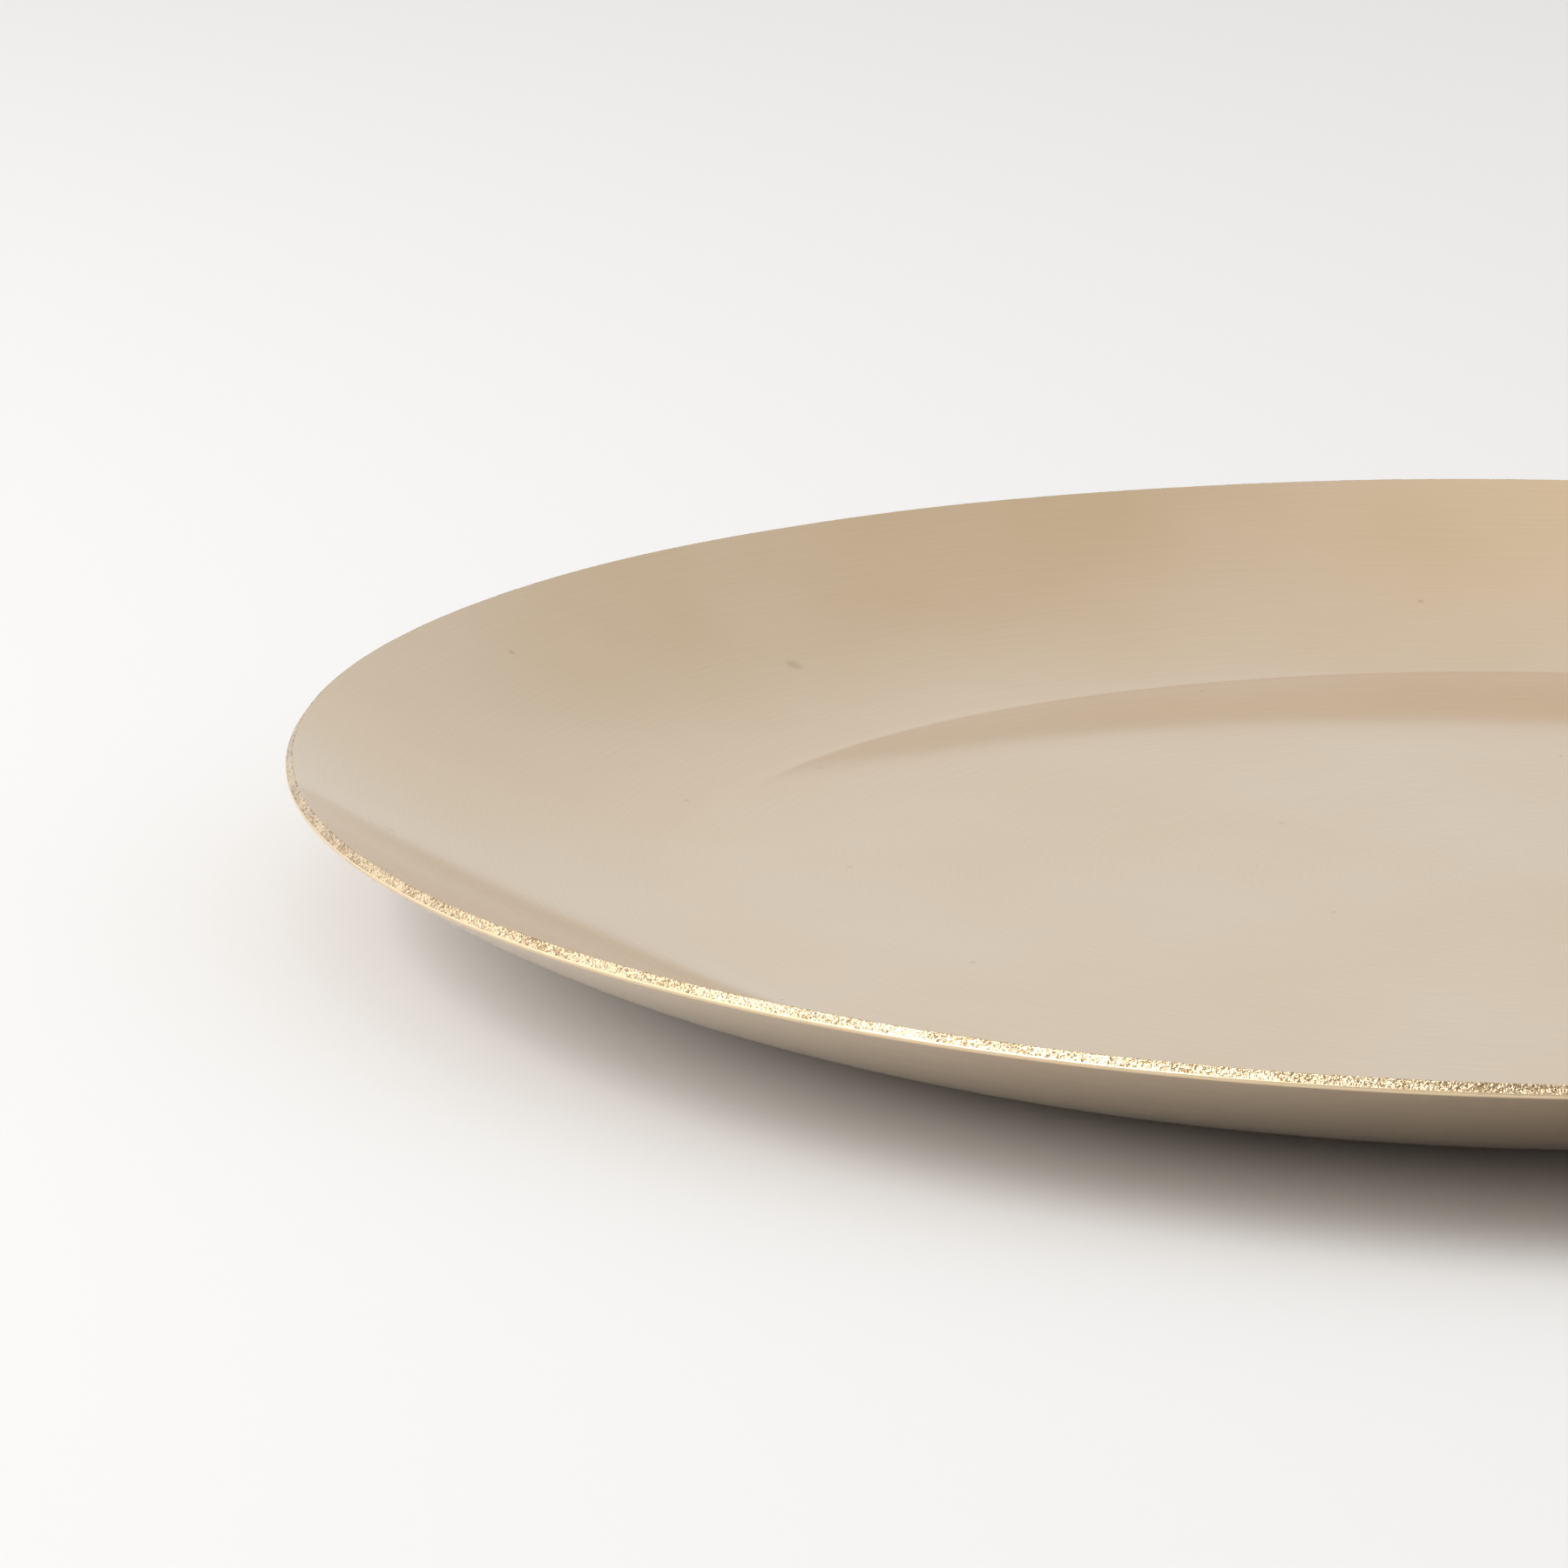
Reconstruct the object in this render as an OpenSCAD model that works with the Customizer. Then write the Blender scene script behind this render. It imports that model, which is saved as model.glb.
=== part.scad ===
// Shallow round brass tray: one disc of sheet brass, pressed and spun to a dish.
// Z is up. The origin is at the middle of the face that the tray rests on.
// The profile is drawn in X and Y, with X as the radius and Y as the height.

/* [Tray] */
// Overall diameter, over the rim
tray_d = 200; // [160:1:320]
// Overall height, from the resting face to the top of the rim
tray_h = 12.4; // [10:0.1:20]
// Thickness of the brass sheet, the same all over
sheet_t = 1; // [0.6:0.1:1.5]

/* [Base and wall] */
// Diameter at which the wall would meet the flat base, with no rounded corner
base_d = 141; // [80:1:144]
// Inside radius of the rounded corner between the base and the wall
corner_r = 14; // [4:1:20]
// How far the wall bows out below a straight line from base to rim
wall_bow = 1.9; // [0.5:0.1:2.6]

/* [Edge] */
// Radius of the smoothed lower corner of the cut edge
edge_r = 0.25; // [0.05:0.05:0.4]

/* [Hidden] */
$fn = 360;

base_r = base_d / 2;
dish_depth = tray_h - sheet_t;

// How deep the edge's rounding arc sits below both faces. It is a little less than the arc's
// radius, so that the arc crosses the faces instead of only touching them.
edge_seat = 0.95 * edge_r;

// The wall is an arc from the sharp base corner to the rim. Its chord's slope depends on
// the rim's inner radius, which depends on the slope again, so it settles in a few rounds.
function chord_slope(rim_r) = atan(dish_depth / (rim_r - base_r));
function chord_length(rim_r) = norm([rim_r - base_r, dish_depth]);
function half_turn(rim_r) = 2 * atan(2 * wall_bow / chord_length(rim_r));
function rim_slope(rim_r) = chord_slope(rim_r) + half_turn(rim_r);
function edge_overhang(slope) = (sheet_t - edge_seat) * sin(slope) - edge_seat * cos(slope) + edge_r;
function settled_rim_r(rim_r, rounds) =
    rounds == 0 ? rim_r : settled_rim_r(tray_d / 2 - edge_overhang(rim_slope(rim_r)), rounds - 1);

rim_r = settled_rim_r(tray_d / 2, 12);
edge_slope = rim_slope(rim_r);
wall_r = chord_length(rim_r) / 2 / sin(half_turn(rim_r));
wall_centre = [rim_r - wall_r * sin(edge_slope), tray_h + wall_r * cos(edge_slope)];

// The corner's arc touches the base's upper face and the wall's inner face.
corner_y = sheet_t + corner_r;
corner_reach = sqrt(pow(wall_r - corner_r, 2) - pow(wall_centre.y - corner_y, 2));
corner_centre = [wall_centre.x + corner_reach, corner_y];
corner_slope = atan2(corner_reach, wall_centre.y - corner_y);

// The edge's smoothed corner runs from the cut face to the wall's outer face.
edge_centre_r = wall_r + sheet_t - edge_seat;
edge_round_slope = edge_slope - asin(edge_seat / edge_centre_r);
toward_edge = [sin(edge_round_slope), -cos(edge_round_slope)];
off_cut_face = [cos(edge_slope), sin(edge_slope)];
edge_centre = wall_centre + edge_centre_r * toward_edge;

tray();

// The whole tray, turned from one profile.
module tray() {
    color([0.83, 0.76, 0.66])
        rotate_extrude()
            sheet_profile();
}

// The sheet's section: the outer form, less the hollow, trimmed at the rim.
module sheet_profile() {
    difference() {
        dish_form(inset = 0, spare = 0);
        dish_form(inset = sheet_t, spare = 1);
        beyond_cut_face();
        edge_corner();
    }
}

// A filled dish, inset from the outer surface, and taller than its neighbour by a spare bit.
module dish_form(inset, spare) {
    translate([0, inset])
        square([corner_centre.x, wall_centre.y - inset + spare]);
    translate(corner_centre)
        circle(corner_r + sheet_t - inset);
    intersection() {
        translate(wall_centre)
            circle(wall_r + sheet_t - inset);
        side_of_wall_centre(corner_slope, spare);
    }
}

// All that lies outward of a line that leaves the wall's centre at the given slope.
module side_of_wall_centre(slope, spare) {
    reach = wall_r + tray_h;
    translate(wall_centre)
        rotate(slope)
            translate([0, -reach])
                square([reach, reach + spare]);
}

// The sheet is cut square to its own surface.
module beyond_cut_face() {
    side_of_wall_centre(edge_slope, spare = 2);
}

// The sliver that smoothing takes off the edge's lower corner.
module edge_corner() {
    reach = 2 * edge_r;
    difference() {
        polygon([
            edge_centre,
            edge_centre + reach * toward_edge,
            edge_centre + reach * (toward_edge + off_cut_face),
            edge_centre + reach * off_cut_face
        ]);
        translate(edge_centre)
            circle(edge_r);
    }
}
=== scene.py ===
import math

import bmesh
import bpy
from bpy.props import FloatProperty, FloatVectorProperty, IntProperty, PointerProperty
from mathutils import Matrix, Vector, noise


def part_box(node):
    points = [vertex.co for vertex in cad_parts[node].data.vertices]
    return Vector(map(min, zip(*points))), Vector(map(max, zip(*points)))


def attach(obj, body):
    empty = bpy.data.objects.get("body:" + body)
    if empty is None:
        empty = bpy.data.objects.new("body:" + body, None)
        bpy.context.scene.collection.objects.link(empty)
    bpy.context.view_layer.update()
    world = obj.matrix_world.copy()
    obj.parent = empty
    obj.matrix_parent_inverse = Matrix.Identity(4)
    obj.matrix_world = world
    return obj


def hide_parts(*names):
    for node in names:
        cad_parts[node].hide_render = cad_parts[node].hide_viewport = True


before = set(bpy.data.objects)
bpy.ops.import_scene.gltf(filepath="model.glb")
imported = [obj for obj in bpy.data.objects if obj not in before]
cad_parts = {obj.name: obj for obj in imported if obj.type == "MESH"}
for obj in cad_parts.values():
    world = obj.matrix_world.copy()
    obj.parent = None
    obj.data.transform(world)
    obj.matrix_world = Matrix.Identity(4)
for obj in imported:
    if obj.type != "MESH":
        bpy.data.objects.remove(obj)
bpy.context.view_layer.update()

bl_info = {
    "name": "Spun Brass Tray",
    "version": (1, 0, 0),
    "blender": (4, 5, 0),
    "location": "3D View > Sidebar > Tray",
    "description": "Makes a shallow round tray of sheet brass with a sheared edge",
    "category": "Add Mesh",
}

MM = 0.001
OVERHEAD_TINT = (1.0, 0.96, 0.91, 1.0)
WHITE = (1.0, 1.0, 1.0, 1.0)
WINDOW_PLACE = (-0.86, -0.10, 0.55)
WINDOW_WIDTH = 0.8
GLINT_PLACE = (-0.58, -0.34, 0.77)
GLINT_WIDTH = 0.3
FLOOR_HALF_WIDTH = 3.0
ROUGHLY_SAME = 1e-7
CAD_LOW, CAD_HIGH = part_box("tray")


def linear(hex_colour):
    """Turns an sRGB hex colour, such as D9C5AA, to linear red, green and blue."""
    channels = [int(hex_colour[place:place + 2], 16) / 255 for place in (0, 2, 4)]
    return [c / 12.92 if c <= 0.04045 else ((c + 0.055) / 1.055) ** 2.4 for c in channels]


# ---------------------------------------------------------------------------------------------
# Settings
# ---------------------------------------------------------------------------------------------

class TraySizes(bpy.types.PropertyGroup):
    """The sizes of the dish and of its cut edge."""

    diameter: FloatProperty(
        name="Diameter", description="Overall diameter, over the rim",
        default=CAD_HIGH[0] - CAD_LOW[0], unit="LENGTH")
    height: FloatProperty(
        name="Height", description="From the resting face to the top of the rim",
        default=CAD_HIGH[2] - CAD_LOW[2], unit="LENGTH")
    sheet: FloatProperty(
        name="Sheet", description="Thickness of the brass sheet",
        default=1.0 * MM, unit="LENGTH")
    base_diameter: FloatProperty(
        name="Base diameter", description="Where the wall would meet the flat base, with no corner",
        default=141 * MM, unit="LENGTH")
    corner_radius: FloatProperty(
        name="Corner radius", description="Inside radius between the base and the wall",
        default=14 * MM, unit="LENGTH")
    wall_bow: FloatProperty(
        name="Wall bow", description="How far the wall bows below a straight line to the rim",
        default=1.9 * MM, unit="LENGTH")
    lip_radius: FloatProperty(
        name="Lip radius", description="Radius of the smooth lower corner of the cut edge",
        default=0.25 * MM, unit="LENGTH")
    burr_radius: FloatProperty(
        name="Burr radius", description="Radius of the fine upper corner of the cut edge",
        default=0.10 * MM, unit="LENGTH")
    tear_depth: FloatProperty(
        name="Tear depth", description="How deep the torn part of the edge is pitted",
        default=0.09 * MM, unit="LENGTH")
    tear_grain: FloatProperty(
        name="Tear grain", description="Width of the pits in the torn part of the edge",
        default=0.40 * MM, unit="LENGTH")
    rim_wander: FloatProperty(
        name="Rim wander", description="How far the rim rises and falls from true",
        default=0.10 * MM, unit="LENGTH")
    base_ripple: FloatProperty(
        name="Base ripple", description="How far the sheet swells and dips from true",
        default=0.03 * MM, unit="LENGTH")
    segments: IntProperty(
        name="Segments", description="Steps around the dish", default=480, min=96)
    edge_cuts: IntProperty(
        name="Edge cuts", description="Extra cuts in each step around the torn edge",
        default=5, min=0)


class TrayFinish(bpy.types.PropertyGroup):
    """The colours and the polish of the brass."""

    brass: FloatVectorProperty(
        name="Brass", description="Colour of the satin sheet", subtype="COLOR",
        default=linear("D9C5AA"))
    warm_brass: FloatVectorProperty(
        name="Warm brass", description="Colour where the sheet has begun to tone",
        subtype="COLOR", default=linear("D5BE9E"))
    fresh_brass: FloatVectorProperty(
        name="Fresh brass", description="Colour of the bare metal in the cut edge",
        subtype="COLOR", default=linear("EED6B0"))
    # Painted shade: this darker brass goes where the torn edge's bump is low, standing for shade down in
    # its pits.
    pit_shade_brass: FloatVectorProperty(
        name="Pit shade brass", description="Colour down in the pits of the torn edge",
        subtype="COLOR", default=linear("93795A"))
    spot: FloatVectorProperty(
        name="Spot", description="Colour of the few small tarnish spots", subtype="COLOR",
        default=linear("A3865F"))
    spot_place: FloatVectorProperty(
        name="Spot place", description="Where the one clear tarnish spot lies", size=2,
        subtype="XYZ_LENGTH", unit="LENGTH", default=(-59.7 * MM, 59.4 * MM))
    mirror_roughness: FloatProperty(
        name="Mirror roughness", description="Roughness of the sharp part of the satin's shine",
        default=0.09, min=0.0, max=1.0)
    haze_roughness: FloatProperty(
        name="Haze roughness", description="Roughness of the hazy part of the satin's shine",
        default=0.38, min=0.0, max=1.0)
    haze: FloatProperty(
        name="Haze", description="Share of the satin's shine that is hazy", default=0.56,
        min=0.0, max=1.0)
    lacquer: FloatProperty(
        name="Lacquer", description="How much clear lacquer is left on the satin sheet",
        default=0.40, min=0.0, max=1.0)
    torn_roughness: FloatProperty(
        name="Torn roughness", description="Roughness of the torn part of the edge",
        default=0.22, min=0.0, max=1.0)
    lip_roughness: FloatProperty(
        name="Lip roughness", description="Roughness of the lip that the blade burnished",
        default=0.32, min=0.0, max=1.0)


class StageSettings(bpy.types.PropertyGroup):
    """The floor, the light and the camera."""

    floor: FloatVectorProperty(
        name="Floor", description="Colour of the plain floor", subtype="COLOR",
        default=linear("D6D6D6"))
    level_light: FloatProperty(
        name="Level light", description="Brightness of the room at eye level", default=0.87)
    left_light: FloatProperty(
        name="Left light", description="Brightness overhead, on the left", default=1.04)
    right_light: FloatProperty(
        name="Right light", description="Brightness overhead, on the right", default=0.78)
    front_light: FloatProperty(
        name="Front light", description="Share of the room's brightness high in front",
        default=0.55)
    far_left_light: FloatProperty(
        name="Far left light", description="Share of the room's brightness full on the left",
        default=1.7)
    low_front_light: FloatProperty(
        name="Low front light", description="Share of the room's brightness low in front",
        default=0.65)
    window_power: FloatProperty(
        name="Window power", description="Power of the soft window on the left, in watts",
        default=10.0)
    glint_power: FloatProperty(
        name="Glint power", description="Power of the small lamp that makes the edge glint, in watts",
        default=4.5)
    camera_distance: FloatProperty(
        name="Camera distance", description="Level distance from the tray's middle",
        default=0.6047, unit="LENGTH")
    camera_height: FloatProperty(
        name="Camera height", description="Height of the camera over the floor",
        default=0.1594, unit="LENGTH")
    camera_aside: FloatProperty(
        name="Camera aside", description="How far left of the tray's middle the camera stands",
        default=0.0606, unit="LENGTH")
    camera_pitch: FloatProperty(
        name="Camera pitch", description="How far the camera looks down", subtype="ANGLE",
        default=math.radians(14.01))
    camera_roll: FloatProperty(
        name="Camera roll", description="How far the camera leans", subtype="ANGLE",
        default=math.radians(-0.13))
    lens: FloatProperty(
        name="Lens", description="Focal length on a sensor 36 mm wide", unit="CAMERA",
        default=180)


# ---------------------------------------------------------------------------------------------
# The tray's shape
# ---------------------------------------------------------------------------------------------

class Section:
    """The arcs of the sheet's section: radius along x and height along y."""

    def __init__(self, sizes):
        self.sheet = sizes.sheet
        self.lip = sizes.lip_radius
        self.burr = sizes.burr_radius
        depth = sizes.height - sizes.sheet
        base_r = sizes.base_diameter / 2
        rim_r = sizes.diameter / 2
        for _ in range(12):
            chord = Vector((rim_r - base_r, depth))
            half_turn = 2 * math.atan(2 * sizes.wall_bow / chord.length)
            slope = math.atan2(chord.y, chord.x) + half_turn
            overhang = (self.sheet - self.lip) * math.sin(slope) + self.lip * (1 - math.cos(slope))
            rim_r = sizes.diameter / 2 - overhang
        self.slope = slope
        self.wall_r = chord.length / 2 / math.sin(half_turn)
        self.wall_centre = Vector((
            rim_r - self.wall_r * math.sin(slope),
            sizes.height + self.wall_r * math.cos(slope)))
        self.corner_r = sizes.corner_radius
        rise = self.wall_centre.y - self.sheet - self.corner_r
        reach = math.sqrt((self.wall_r - self.corner_r) ** 2 - rise ** 2)
        self.corner_centre = Vector((self.wall_centre.x + reach, self.sheet + self.corner_r))
        self.corner_slope = math.atan2(reach, rise)
        self.rim = Vector((rim_r, sizes.height))


def step_along(bm, start, shift, steps):
    """Runs a straight line of edges on from a vertex, and returns its last vertex."""
    step = Vector((shift.x, 0, shift.y)) / steps
    made = bmesh.ops.spin(bm, geom=[start], dvec=step, axis=(0, 0, 1), angle=0, steps=steps)
    return made["geom_last"][0]


def turn_about(bm, start, centre, turn, steps):
    """Turns a vertex about a centre, leaving edges behind, and returns its last vertex."""
    made = bmesh.ops.spin(
        bm, geom=[start], cent=(centre.x, 0, centre.y), axis=(0, -1, 0), angle=turn, steps=steps)
    return made["geom_last"][0]


def draw_section(bm, section):
    """Draws the outline of half the sheet, from the axis below, round the rim, to the axis above."""
    collar = 0.6 * MM / section.wall_r
    outer_r = section.wall_r + section.sheet
    lip_slope = section.slope - math.asin(section.lip / (outer_r - section.lip))
    lip_centre = section.wall_centre + (outer_r - section.lip) * Vector(
        (math.sin(lip_slope), -math.cos(lip_slope)))
    burr_slope = section.slope - math.asin(section.burr / (section.wall_r + section.burr))
    burr_centre = section.wall_centre + (section.wall_r + section.burr) * Vector(
        (math.sin(burr_slope), -math.cos(burr_slope)))

    vertex = bmesh.ops.create_vert(bm, co=(0, 0, 0))["vert"][0]
    vertex = step_along(bm, vertex, Vector((section.corner_centre.x, 0)), 16)
    vertex = turn_about(bm, vertex, section.corner_centre, section.corner_slope, 6)
    wall_turn = lip_slope - collar - section.corner_slope
    vertex = turn_about(bm, vertex, section.wall_centre, wall_turn, 24)
    vertex = turn_about(bm, vertex, section.wall_centre, collar * 0.75, 2)
    vertex = turn_about(bm, vertex, section.wall_centre, collar * 0.25, 1)
    vertex = turn_about(bm, vertex, lip_centre, math.pi / 2 + section.slope - lip_slope, 5)
    along_cut = Vector((-math.sin(section.slope), math.cos(section.slope)))
    vertex = step_along(bm, vertex, (section.sheet - section.lip - section.burr) * along_cut, 6)
    vertex = turn_about(bm, vertex, burr_centre, math.pi / 2 + burr_slope - section.slope, 3)
    vertex = turn_about(bm, vertex, section.wall_centre, -collar * 0.25, 1)
    vertex = turn_about(bm, vertex, section.wall_centre, -collar * 0.75, 2)
    wall_turn = burr_slope - collar - section.corner_slope
    vertex = turn_about(bm, vertex, section.wall_centre, -wall_turn, 24)
    vertex = turn_about(bm, vertex, section.corner_centre, -section.corner_slope, 6)
    step_along(bm, vertex, Vector((-section.corner_centre.x, 0)), 16)


def up_cut_face(point, section):
    """How far up the cut face a point lies, from the lip (0) to the burr (1), or None if off it."""
    from_rim = Vector((point.xy.length, point.z)) - section.rim
    outward = Vector((math.cos(section.slope), math.sin(section.slope)))
    down_cut = Vector((math.sin(section.slope), -math.cos(section.slope)))
    if abs(from_rim.dot(outward)) > 0.01 * MM:
        return None
    torn = section.sheet - section.lip - section.burr
    return 1 - (from_rim.dot(down_cut) - section.burr) / torn


def refine_edge(bm, section, cuts):
    """Cuts the rings around the torn edge more finely, so that it can carry small pits."""
    rings = []
    for edge in bm.edges:
        a, b = (vertex.co for vertex in edge.verts)
        level = abs(a.z - b.z) < ROUGHLY_SAME
        around = level and abs(a.xy.length - b.xy.length) < ROUGHLY_SAME
        if around and up_cut_face(a, section) is not None:
            rings.append(edge)
    radii = sorted({round(edge.verts[0].co.xy.length, 7) for edge in rings})
    made = bmesh.ops.subdivide_edges(bm, edges=rings, cuts=cuts, use_grid_fill=True)
    for vertex in made["geom_inner"]:
        if isinstance(vertex, bmesh.types.BMVert):
            radius = vertex.co.xy.length
            vertex.co.xy *= min(radii, key=lambda ring: abs(ring - radius)) / radius


def tear_edge(bm, section, sizes):
    """Pits the cut face as shears leave it: torn metal over a smooth lip, with a groove between."""
    for vertex in bm.verts:
        height = up_cut_face(vertex.co, section)
        if height is None or not 0.02 < height < 0.98:
            continue
        pits = 0.5 + 0.5 * noise.fractal(vertex.co / sizes.tear_grain, 0.8, 2.0, 3)
        open_groove = 0.6 + 0.8 * noise.noise(vertex.co / (4 * MM))
        groove = max(0.0, 1 - height / 0.3) * max(0.0, open_groove)
        side = vertex.co.xy.normalized() * math.cos(section.slope)
        inward = -Vector((side.x, side.y, math.sin(section.slope)))
        vertex.co += sizes.tear_depth * (0.7 * pits + groove) * inward


def unsettle_sheet(bm, section, sizes):
    """Lets the sheet swell, dip and wander a little, as pressed metal does, but not below z 0."""
    reach = section.rim.x
    for vertex in bm.verts:
        place = Vector((vertex.co.x, vertex.co.y, 0))
        outward = place.length / reach
        ripple = noise.fractal(place / (26 * MM), 1.0, 2.0, 2) * sizes.base_ripple
        wander = noise.noise(place / (48 * MM) + Vector((0, 0, 7))) * sizes.rim_wander
        lift = ripple * min(1.0, outward * 1.2) + wander * outward ** 4
        vertex.co.z = max(0.0, vertex.co.z + lift)


def name_faces(bm, section):
    """Gives the torn face and its burr the second material, and the lip below them the third."""
    outward = Vector((math.cos(section.slope), math.sin(section.slope)))
    down_cut = Vector((math.sin(section.slope), -math.cos(section.slope)))
    for face in bm.faces:
        face.smooth = True
        middle = face.calc_center_median()
        from_rim = Vector((middle.xy.length, middle.z)) - section.rim
        if from_rim.dot(down_cut) < section.sheet - section.lip:
            face.material_index = 1 if from_rim.dot(outward) > -0.9 * section.burr else 0
        else:
            face.material_index = 2 if from_rim.dot(outward) > -0.9 * section.lip else 0


def spin_tray(sizes):
    """Makes the tray's mesh: the sheet's section spun about the axis."""
    section = Section(sizes)
    bm = bmesh.new()
    draw_section(bm, section)
    bmesh.ops.spin(
        bm, geom=bm.verts[:] + bm.edges[:], axis=(0, 0, 1), angle=2 * math.pi,
        steps=sizes.segments, use_merge=True)
    bmesh.ops.remove_doubles(bm, verts=bm.verts, dist=ROUGHLY_SAME)
    bmesh.ops.recalc_face_normals(bm, faces=bm.faces)
    refine_edge(bm, section, sizes.edge_cuts)
    name_faces(bm, section)
    tear_edge(bm, section, sizes)
    unsettle_sheet(bm, section, sizes)
    mesh = bpy.data.meshes.new("spun_tray")
    bm.to_mesh(mesh)
    bm.free()
    return mesh


# ---------------------------------------------------------------------------------------------
# Materials
# ---------------------------------------------------------------------------------------------

def add_node(tree, kind, inputs=None, **settings):
    """Adds a node, with its settings, and with each input set to a value or linked to a socket."""
    node = tree.nodes.new(kind)
    for name, value in settings.items():
        setattr(node, name, value)
    for name, value in (inputs or {}).items():
        if isinstance(value, bpy.types.NodeSocket):
            tree.links.new(value, node.inputs[name])
        else:
            node.inputs[name].default_value = value
    return node


def new_material(name):
    """Starts a material with nothing but its output, and returns it with its node tree."""
    material = bpy.data.materials.new(name)
    material.use_nodes = True
    material.node_tree.nodes.clear()
    return material, material.node_tree


def opaque(colour):
    """A colour socket's value from a colour."""
    return (*colour, 1.0)


def rubbing_lines(tree, place, spacing, run):
    """Fine lines around the tray: a pattern that is tight across its radius and long around it."""
    split = add_node(tree, "ShaderNodeSeparateXYZ", {"Vector": place})
    flat = add_node(tree, "ShaderNodeCombineXYZ", {
        "X": split.outputs["X"], "Y": split.outputs["Y"]})
    radius = add_node(tree, "ShaderNodeVectorMath", {0: flat.outputs[0]}, operation="LENGTH")
    around = add_node(tree, "ShaderNodeVectorMath", {0: flat.outputs[0]}, operation="NORMALIZE")
    turn = add_node(tree, "ShaderNodeSeparateXYZ", {"Vector": around.outputs[0]})
    across = add_node(tree, "ShaderNodeMath", {
        0: radius.outputs["Value"], 1: 1 / spacing}, operation="MULTIPLY")
    along_x = add_node(tree, "ShaderNodeMath", {
        0: turn.outputs["X"], 1: 1 / run}, operation="MULTIPLY")
    along_y = add_node(tree, "ShaderNodeMath", {
        0: turn.outputs["Y"], 1: 1 / run}, operation="MULTIPLY")
    lines = add_node(tree, "ShaderNodeCombineXYZ", {
        "X": across.outputs[0], "Y": along_x.outputs[0], "Z": along_y.outputs[0]})
    return add_node(tree, "ShaderNodeTexNoise", {
        "Vector": lines.outputs[0], "Scale": 1.0, "Detail": 2.0, "Roughness": 0.6}).outputs["Fac"]


def tarnish(tree, place, finish):
    """How far a point is tarnished: one clear spot, and a few fainter specks about the tray."""
    split = add_node(tree, "ShaderNodeSeparateXYZ", {"Vector": place})
    flat = add_node(tree, "ShaderNodeCombineXYZ", {
        "X": split.outputs["X"], "Y": split.outputs["Y"]}).outputs[0]
    to_spot = add_node(tree, "ShaderNodeVectorMath", {
        0: flat, 1: (*finish.spot_place, 0.0)}, operation="DISTANCE")
    spot = add_node(tree, "ShaderNodeMapRange", {
        "Value": to_spot.outputs["Value"], "From Min": 0.9 * MM, "From Max": 0.3 * MM,
        "To Max": 0.35})
    cells = 1 / (34 * MM)
    specks = add_node(tree, "ShaderNodeTexVoronoi", {
        "Vector": flat, "Scale": cells}, voronoi_dimensions="2D")
    speck = add_node(tree, "ShaderNodeMapRange", {
        "Value": specks.outputs["Distance"], "From Min": 0.35 * MM * cells,
        "From Max": 0.1 * MM * cells, "To Max": 0.45})
    return add_node(tree, "ShaderNodeMath", {
        0: spot.outputs["Result"], 1: speck.outputs["Result"]}, operation="MAXIMUM").outputs[0]


def scuffs(tree, place):
    """How far a point is scuffed: short scratches, two ways, only where the base rests."""
    split = add_node(tree, "ShaderNodeSeparateXYZ", {"Vector": place})
    resting = add_node(tree, "ShaderNodeMapRange", {
        "Value": split.outputs["Z"], "From Min": 0.30 * MM, "From Max": 0.05 * MM})
    ways = []
    for lean in (0.5, 2.1):
        turned = add_node(tree, "ShaderNodeMapping", {
            "Vector": place, "Rotation": (0.0, 0.0, lean),
            "Scale": (1 / (0.5 * MM), 1 / (14 * MM), 0.0)})
        streaks = add_node(tree, "ShaderNodeTexNoise", {
            "Vector": turned.outputs["Vector"], "Scale": 1.0, "Detail": 1.0})
        ways.append(add_node(tree, "ShaderNodeMapRange", {
            "Value": streaks.outputs["Fac"], "From Min": 0.62, "From Max": 0.72,
            "To Max": 0.7}).outputs["Result"])
    both = add_node(tree, "ShaderNodeMath", {0: ways[0], 1: ways[1]}, operation="MAXIMUM")
    return add_node(tree, "ShaderNodeMath", {
        0: both.outputs[0], 1: resting.outputs["Result"]}, operation="MULTIPLY").outputs[0]


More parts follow.
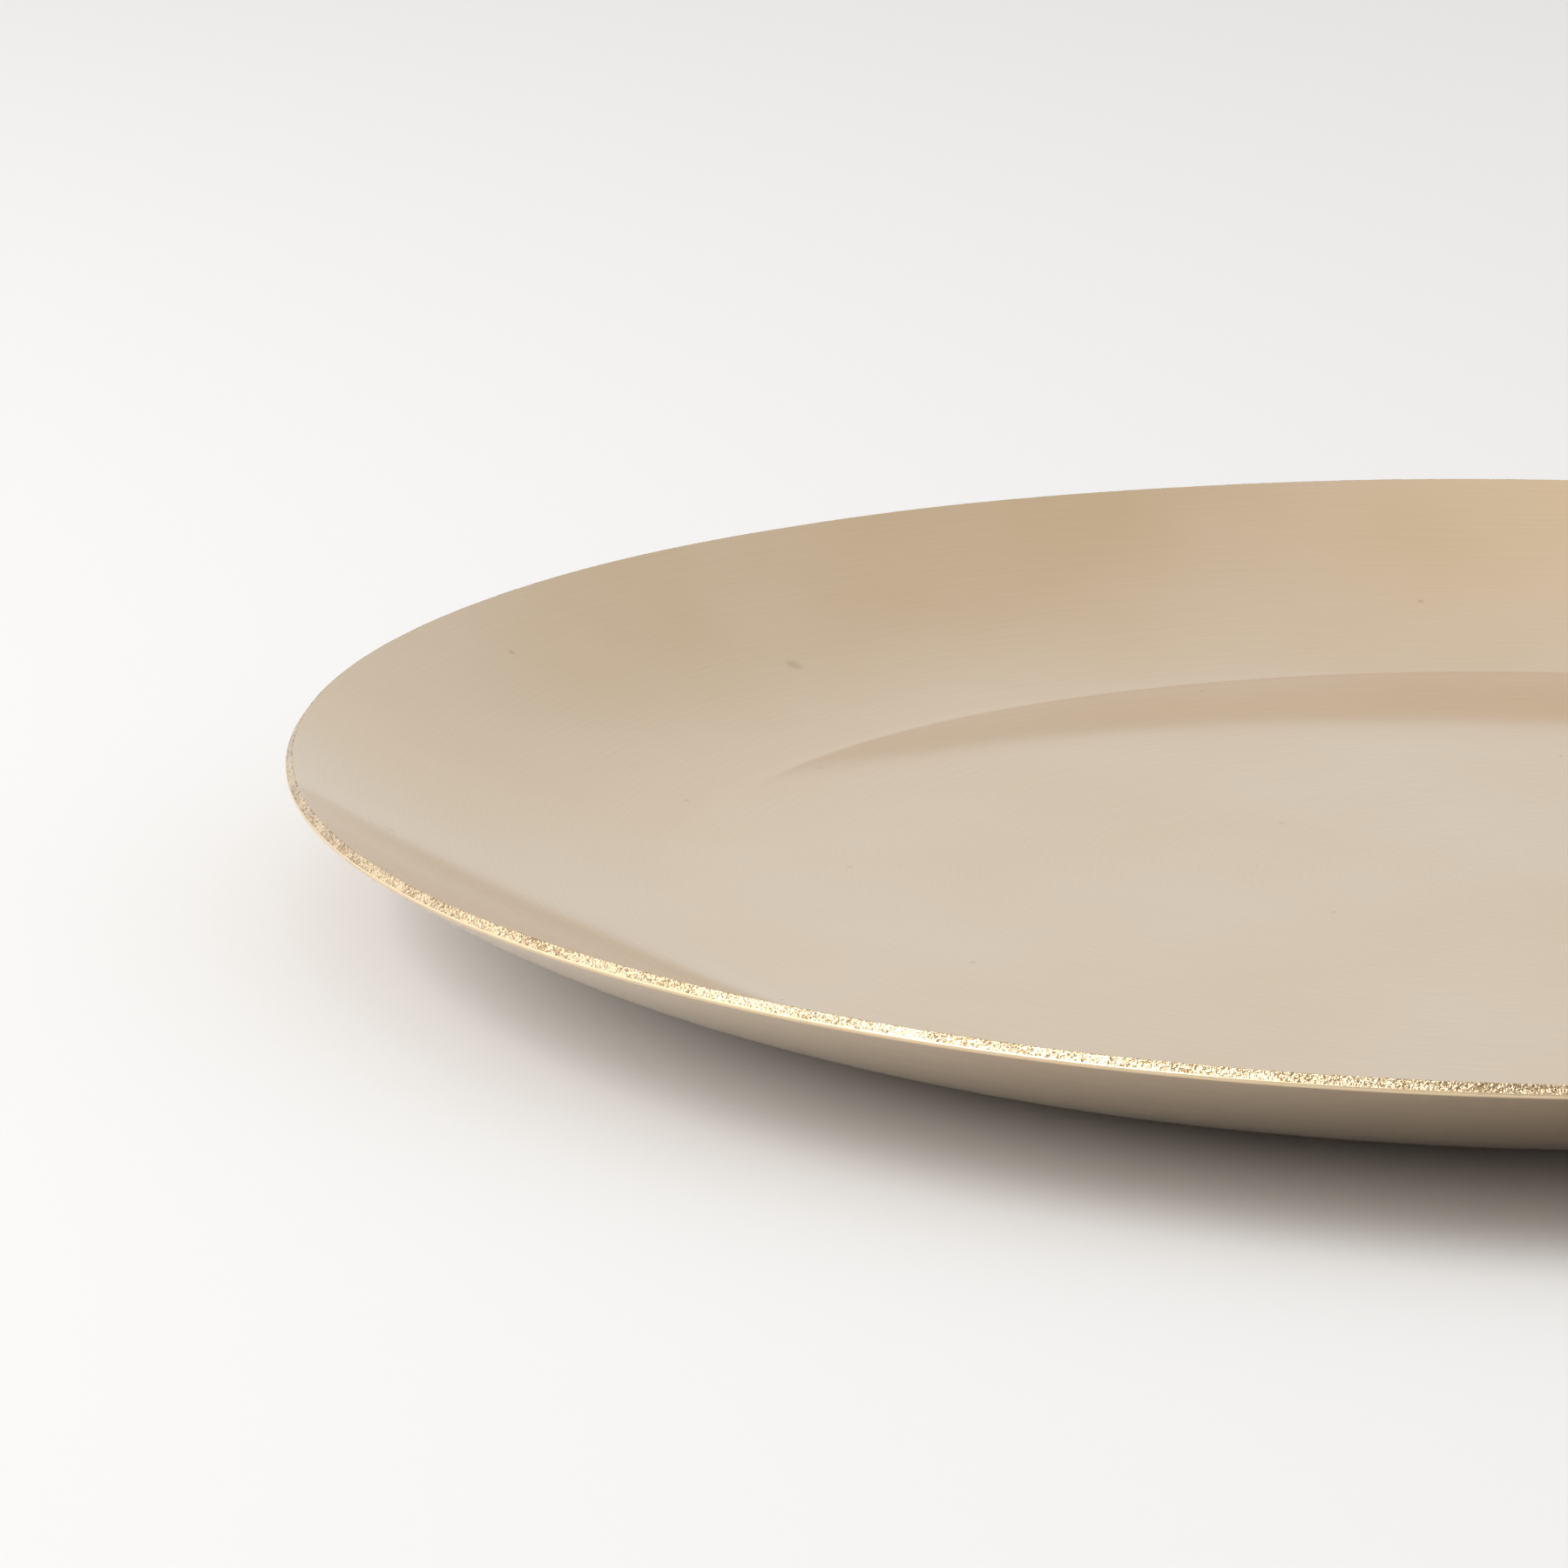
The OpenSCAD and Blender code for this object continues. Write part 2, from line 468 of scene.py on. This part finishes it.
def satin_brass(finish):
    """Sheet brass, spun to shape and rubbed to a satin: a soft mirror under a pale haze."""
    material, tree = new_material("Satin-finished spun brass")
    place = add_node(tree, "ShaderNodeTexCoord").outputs["Object"]

    # Tone: the metal is a little warmer in wide, soft patches, where it has begun to tarnish.
    patches = add_node(tree, "ShaderNodeTexNoise", {
        "Vector": place, "Scale": 1 / (38 * MM), "Detail": 3.0, "Roughness": 0.55})
    tone = add_node(tree, "ShaderNodeMapRange", {
        "Value": patches.outputs["Fac"], "From Min": 0.35, "From Max": 0.65})
    sheet = add_node(tree, "ShaderNodeMix", {
        "Factor": tone.outputs["Result"],
        "A": opaque(finish.brass), "B": opaque(finish.warm_brass)},
        data_type="RGBA")
    colour = add_node(tree, "ShaderNodeMix", {
        "Factor": tarnish(tree, place, finish),
        "A": sheet.outputs["Result"], "B": opaque(finish.spot)},
        data_type="RGBA").outputs["Result"]

    # Scuffs: where the base rests and slides it is scratched through to bare metal.
    colour = add_node(tree, "ShaderNodeMix", {
        "Factor": scuffs(tree, place), "A": colour, "B": opaque(finish.fresh_brass)},
        data_type="RGBA").outputs["Result"]

    # Rubbing marks: the real ones are under 0.1 mm apart, and these are drawn coarser, 0.35 mm,
    # so that they show. Where they lie close the shine is hazier.
    rubbing = rubbing_lines(tree, place, 0.35 * MM, 0.11)
    marks = add_node(tree, "ShaderNodeBump", {
        "Height": rubbing, "Strength": 0.012, "Distance": 0.003 * MM}).outputs["Normal"]
    haze = add_node(tree, "ShaderNodeMapRange", {
        "Value": rubbing, "From Min": 0.3, "From Max": 0.7,
        "To Min": finish.haze - 0.02, "To Max": finish.haze + 0.02})

    mirror = add_node(tree, "ShaderNodeBsdfPrincipled", {
        "Base Color": colour, "Metallic": 1.0, "Roughness": finish.mirror_roughness,
        "Coat Weight": finish.lacquer, "Coat Roughness": finish.mirror_roughness,
        "Normal": marks})
    satin = add_node(tree, "ShaderNodeBsdfPrincipled", {
        "Base Color": colour, "Metallic": 1.0, "Roughness": finish.haze_roughness,
        "Coat Weight": finish.lacquer, "Coat Roughness": finish.mirror_roughness,
        "Normal": marks})
    shine = add_node(tree, "ShaderNodeMixShader", {
        0: haze.outputs["Result"], 1: mirror.outputs["BSDF"], 2: satin.outputs["BSDF"]})
    add_node(tree, "ShaderNodeOutputMaterial", {"Surface": shine.outputs["Shader"]})
    return material


def torn_brass(finish):
    """Brass torn by shears: bare yellow metal in coarse grains, which glint one by one."""
    material, tree = new_material("Sheared brass edge")
    place = add_node(tree, "ShaderNodeTexCoord").outputs["Object"]
    grains = add_node(tree, "ShaderNodeTexNoise", {
        "Vector": place, "Scale": 1 / (0.20 * MM), "Detail": 2.0, "Roughness": 0.6})
    # Some stretches of the edge tore clean and bright, and others are dull. The darker brass also follows
    # the low grains of the bump, as painted shade in the pits.
    stretches = add_node(tree, "ShaderNodeTexNoise", {
        "Vector": place, "Scale": 1 / (2.2 * MM), "Detail": 1.0, "Roughness": 0.5})
    brighter = add_node(tree, "ShaderNodeMath", {
        0: stretches.outputs["Fac"], 1: 0.3, 2: grains.outputs["Fac"]},
        operation="MULTIPLY_ADD")
    shade = add_node(tree, "ShaderNodeMapRange", {
        "Value": brighter.outputs[0], "From Min": 0.52, "From Max": 0.74})
    # Painted shade: the darker brass is mixed in where the grains, and so the bump, are low.
    colour = add_node(tree, "ShaderNodeMix", {
        "Factor": shade.outputs["Result"],
        "A": opaque(finish.pit_shade_brass), "B": opaque(finish.fresh_brass)},
        data_type="RGBA")
    torn = add_node(tree, "ShaderNodeBump", {
        "Height": grains.outputs["Fac"], "Strength": 1.0, "Distance": 0.10 * MM})
    shader = add_node(tree, "ShaderNodeBsdfPrincipled", {
        "Base Color": colour.outputs["Result"], "Metallic": 1.0,
        "Roughness": finish.torn_roughness, "Normal": torn.outputs["Normal"]})
    add_node(tree, "ShaderNodeOutputMaterial", {"Surface": shader.outputs["BSDF"]})
    return material


def burnished_brass(finish):
    """Brass that the shear's blade slid over: a smooth bright lip, with faint drag marks."""
    material, tree = new_material("Burnished brass lip")
    place = add_node(tree, "ShaderNodeTexCoord").outputs["Object"]
    drag = rubbing_lines(tree, place, 0.2 * MM, 0.02)
    shade = add_node(tree, "ShaderNodeMapRange", {
        "Value": drag, "From Min": 0.3, "From Max": 0.7, "To Max": 0.3})
    colour = add_node(tree, "ShaderNodeMix", {
        "Factor": shade.outputs["Result"],
        "A": opaque(finish.fresh_brass), "B": opaque(finish.brass)},
        data_type="RGBA")
    shader = add_node(tree, "ShaderNodeBsdfPrincipled", {
        "Base Color": colour.outputs["Result"], "Metallic": 1.0,
        "Roughness": finish.lip_roughness})
    add_node(tree, "ShaderNodeOutputMaterial", {"Surface": shader.outputs["BSDF"]})
    return material


def plain_floor(stage):
    """A matt pale board, plain all over."""
    material, tree = new_material("Matt pale board")
    shader = add_node(tree, "ShaderNodeBsdfPrincipled", {
        "Base Color": opaque(stage.floor), "Roughness": 0.9, "Specular IOR Level": 0.2})
    add_node(tree, "ShaderNodeOutputMaterial", {"Surface": shader.outputs["BSDF"]})
    return material


# ---------------------------------------------------------------------------------------------
# The stage
# ---------------------------------------------------------------------------------------------

def lay_floor(stage):
    """Lays a plain floor under the tray."""
    bm = bmesh.new()
    bmesh.ops.create_grid(bm, x_segments=1, y_segments=1, size=FLOOR_HALF_WIDTH)
    mesh = bpy.data.meshes.new("floor")
    bm.to_mesh(mesh)
    bm.free()
    mesh.materials.append(plain_floor(stage))
    floor = bpy.data.objects.new("floor", mesh)
    bpy.context.scene.collection.objects.link(floor)


def hang_softbox(name, place, width, power, mirrored):
    """Hangs a square softbox that faces the tray, and is either mirrored in metal or lights the floor."""
    light = bpy.data.lights.new(name, "AREA")
    light.shape = "SQUARE"
    light.size = width
    light.energy = power
    lamp = bpy.data.objects.new(name, light)
    facing = (-Vector(place)).to_track_quat("-Z", "Y")
    lamp.matrix_world = Matrix.Translation(place) @ facing.to_matrix().to_4x4()
    lamp.visible_glossy = mirrored
    lamp.visible_diffuse = not mirrored
    bpy.context.scene.collection.objects.link(lamp)


def light_room(stage):
    """Fills the room with soft light, brighter on the left and behind, and warmer overhead."""
    world = bpy.data.worlds.new("soft_room")
    world.use_nodes = True
    tree = world.node_tree
    tree.nodes.clear()
    direction = add_node(tree, "ShaderNodeTexCoord").outputs["Generated"]
    split = add_node(tree, "ShaderNodeSeparateXYZ", {"Vector": direction})
    across = add_node(tree, "ShaderNodeMapRange", {
        "Value": split.outputs["X"], "From Min": -0.15, "From Max": 0.25,
        "To Min": stage.left_light, "To Max": stage.right_light})
    above = add_node(tree, "ShaderNodeMapRange", {
        "Value": split.outputs["Z"], "From Min": 0.25, "From Max": 0.6,
        "To Min": stage.level_light, "To Max": across.outputs["Result"]})
    front = add_node(tree, "ShaderNodeMapRange", {
        "Value": split.outputs["Z"], "From Min": 0.15, "From Max": 0.5,
        "To Min": stage.low_front_light, "To Max": stage.front_light})
    behind = add_node(tree, "ShaderNodeMapRange", {
        "Value": split.outputs["Y"], "From Min": -0.7, "From Max": -0.1,
        "To Min": front.outputs["Result"], "To Max": 1.0})
    beside = add_node(tree, "ShaderNodeMapRange", {
        "Value": split.outputs["X"], "From Min": -0.9, "From Max": -0.4,
        "To Min": stage.far_left_light, "To Max": 1.0})
    shares = add_node(tree, "ShaderNodeMath", {
        0: beside.outputs["Result"], 1: behind.outputs["Result"]}, operation="MULTIPLY")
    strength = add_node(tree, "ShaderNodeMath", {
        0: above.outputs["Result"], 1: shares.outputs[0]}, operation="MULTIPLY")
    overhead = add_node(tree, "ShaderNodeMapRange", {
        "Value": split.outputs["Z"], "From Min": 0.5, "From Max": 1.0})
    tint = add_node(tree, "ShaderNodeMix", {
        "Factor": overhead.outputs["Result"],
        "A": WHITE, "B": OVERHEAD_TINT},
        data_type="RGBA")
    glow = add_node(tree, "ShaderNodeBackground", {
        "Color": tint.outputs["Result"], "Strength": strength.outputs[0]})
    add_node(tree, "ShaderNodeOutputWorld", {"Surface": glow.outputs["Background"]})
    bpy.context.scene.world = world
    # A wide window would burn out the whole dish when seen from the right, so it isn't mirrored.
    hang_softbox("window", WINDOW_PLACE, WINDOW_WIDTH, stage.window_power, mirrored=False)
    hang_softbox("glint", GLINT_PLACE, GLINT_WIDTH, stage.glint_power, mirrored=True)


def place_camera(stage):
    """Stands the camera low and a little left, looking down over the near rim."""
    data = bpy.data.cameras.new("camera")
    data.sensor_width = 36
    data.lens = stage.lens
    data.clip_start = 0.01
    camera = bpy.data.objects.new("camera", data)
    stand = Matrix.Translation((-stage.camera_aside, -stage.camera_distance, stage.camera_height))
    tilt = Matrix.Rotation(math.pi / 2 - stage.camera_pitch, 4, "X")
    lean = Matrix.Rotation(stage.camera_roll, 4, "Z")
    camera.matrix_world = stand @ tilt @ lean
    bpy.context.scene.collection.objects.link(camera)
    bpy.context.scene.camera = camera


# ---------------------------------------------------------------------------------------------
# Operators and panel
# ---------------------------------------------------------------------------------------------

class TRAY_OT_spin(bpy.types.Operator):
    """Spin the tray from its section and give it its brass"""

    bl_idname = "tray.spin"
    bl_label = "Spin tray"

    def execute(self, context):
        scene = context.scene
        mesh = spin_tray(scene.tray_sizes)
        mesh.materials.append(satin_brass(scene.tray_finish))
        mesh.materials.append(torn_brass(scene.tray_finish))
        mesh.materials.append(burnished_brass(scene.tray_finish))
        tray = bpy.data.objects.new("spun_tray", mesh)
        scene.collection.objects.link(tray)
        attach(tray, "root")
        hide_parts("tray")
        return {"FINISHED"}


class TRAY_OT_set_stage(bpy.types.Operator):
    """Lay the floor, light the room and place the camera"""

    bl_idname = "tray.set_stage"
    bl_label = "Set stage"

    def execute(self, context):
        stage = context.scene.tray_stage
        lay_floor(stage)
        light_room(stage)
        place_camera(stage)
        context.scene.view_settings.view_transform = "Standard"
        return {"FINISHED"}


class TRAY_PT_sidebar(bpy.types.Panel):
    """The tray's settings, in the 3D view's sidebar"""

    bl_idname = "TRAY_PT_sidebar"
    bl_label = "Brass tray"
    bl_space_type = "VIEW_3D"
    bl_region_type = "UI"
    bl_category = "Tray"

    def draw(self, context):
        scene = context.scene
        for group in (scene.tray_sizes, scene.tray_finish, scene.tray_stage):
            box = self.layout.box()
            for name in group.__annotations__:
                box.prop(group, name)
        self.layout.operator(TRAY_OT_spin.bl_idname)
        self.layout.operator(TRAY_OT_set_stage.bl_idname)


CLASSES = (
    TraySizes,
    TrayFinish,
    StageSettings,
    TRAY_OT_spin,
    TRAY_OT_set_stage,
    TRAY_PT_sidebar,
)


def register():
    for cls in CLASSES:
        bpy.utils.register_class(cls)
    bpy.types.Scene.tray_sizes = PointerProperty(type=TraySizes)
    bpy.types.Scene.tray_finish = PointerProperty(type=TrayFinish)
    bpy.types.Scene.tray_stage = PointerProperty(type=StageSettings)


def unregister():
    del bpy.types.Scene.tray_stage
    del bpy.types.Scene.tray_finish
    del bpy.types.Scene.tray_sizes
    for cls in reversed(CLASSES):
        bpy.utils.unregister_class(cls)


def main():
    register()
    bpy.ops.tray.spin()
    bpy.ops.tray.set_stage()


if __name__ == "__main__":
    main()
